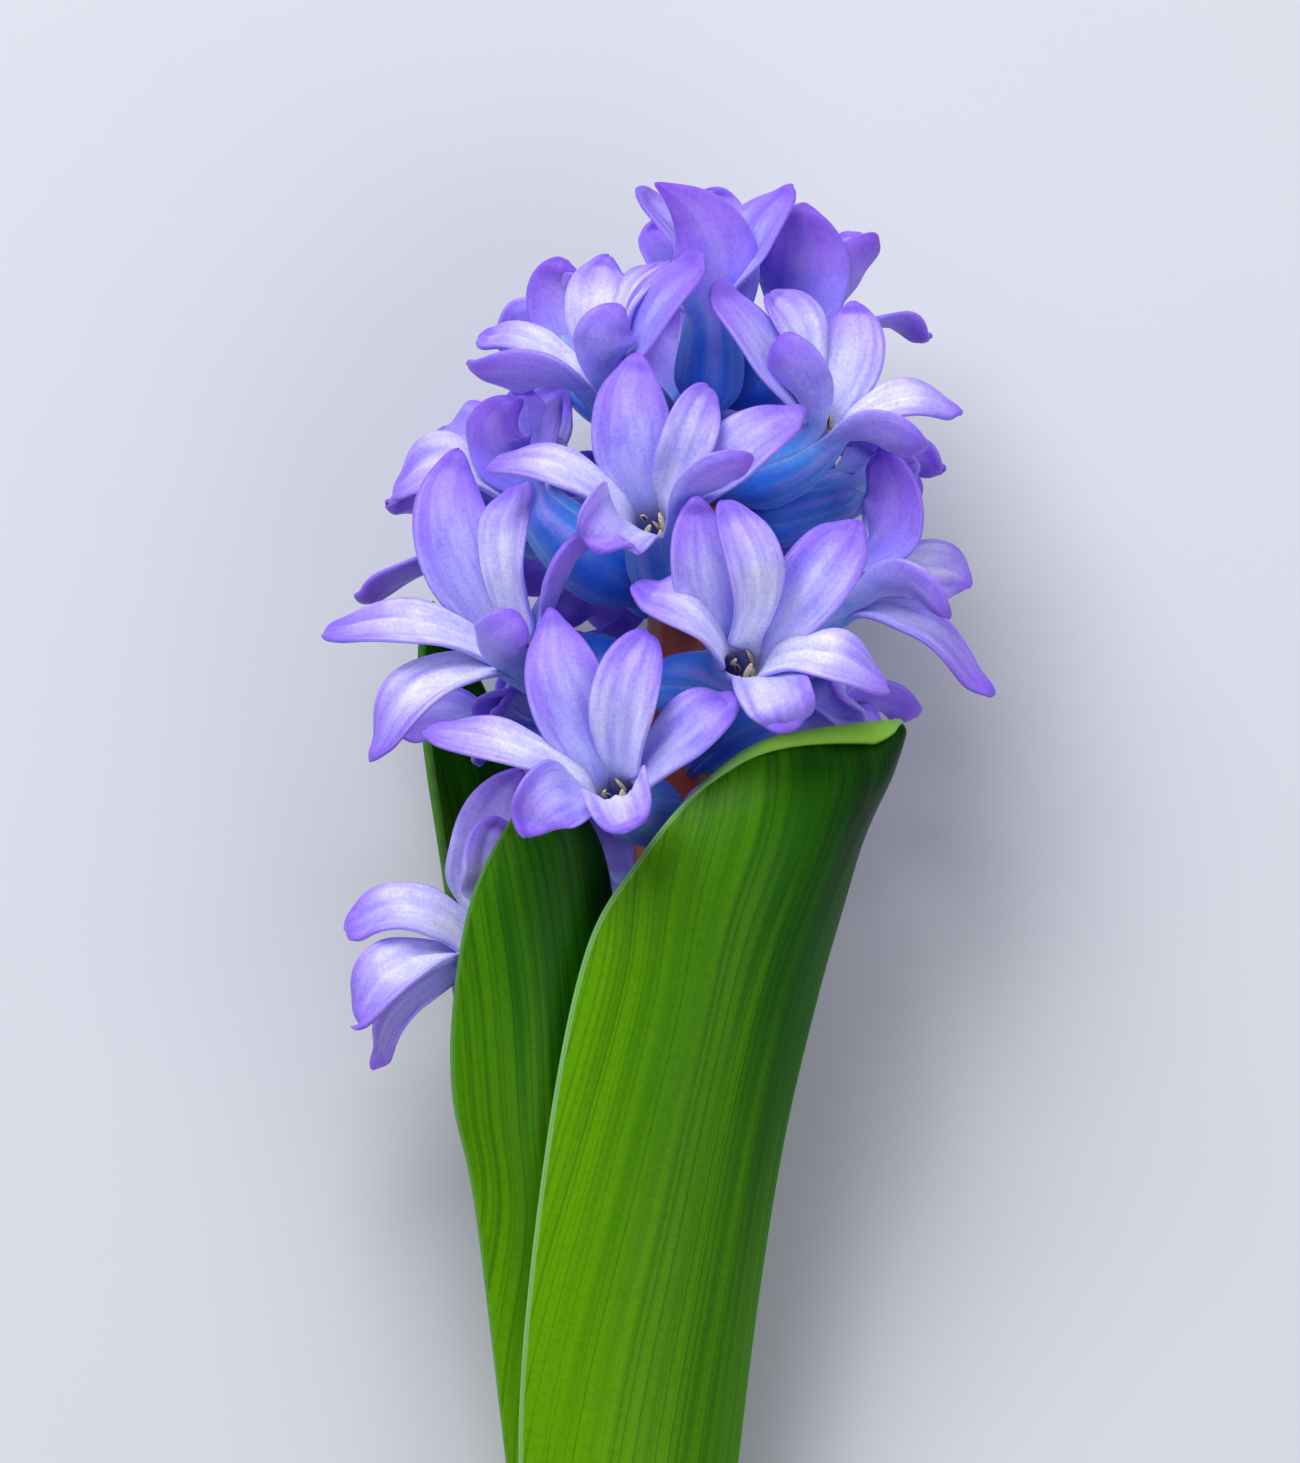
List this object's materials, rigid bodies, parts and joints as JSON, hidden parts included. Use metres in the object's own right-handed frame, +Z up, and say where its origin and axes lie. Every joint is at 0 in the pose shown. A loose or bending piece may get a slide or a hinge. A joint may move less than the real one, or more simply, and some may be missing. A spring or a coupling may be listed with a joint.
{
  "type": "hyacinth flower",
  "caption": "Picked hyacinth lying on its back: a thick stem with a dense cone of bell florets whose pointed petals curl back, and strap leaves wrapped round the foot.",
  "frame": {"origin": "centre of the bounding box in plan, at the surface that the flower lies on", "axes": "+Y along the lying stem from the cut end towards the head, +Z up, which is also the way the flower's front faces, +X across"},
  "size_m": [0.0746, 0.181, 0.0645],
  "materials": {
    "petal": "soft waxy lavender-blue petal, paler inside and deeper blue on the tube",
    "leaf": "smooth waxy mid-green leaf with fine veins along it",
    "stem": "smooth fleshy reddish-brown stem"
  },
  "bodies": {
    "root": {"stem": "stem", "leaf_front_right": "leaf", "leaf_front_left": "leaf", "leaf_back_left": "leaf", "leaf_back_right": "leaf", "floret_a": "petal", "floret_b": "petal", "floret_c": "petal", "floret_d": "petal", "floret_e": "petal", "floret_f": "petal", "floret_g": "petal", "floret_h": "petal", "floret_i": "petal", "floret_j": "petal", "floret_k": "petal", "floret_l": "petal", "floret_m": "petal", "floret_o": "petal", "floret_p": "petal", "floret_q": "petal", "floret_r": "petal", "floret_rear_1": "petal", "floret_rear_2": "petal", "floret_rear_3": "petal", "floret_rear_4": "petal", "floret_rear_5": "petal", "floret_rear_6": "petal", "floret_rear_7": "petal"}
  },
  "joints": []
}
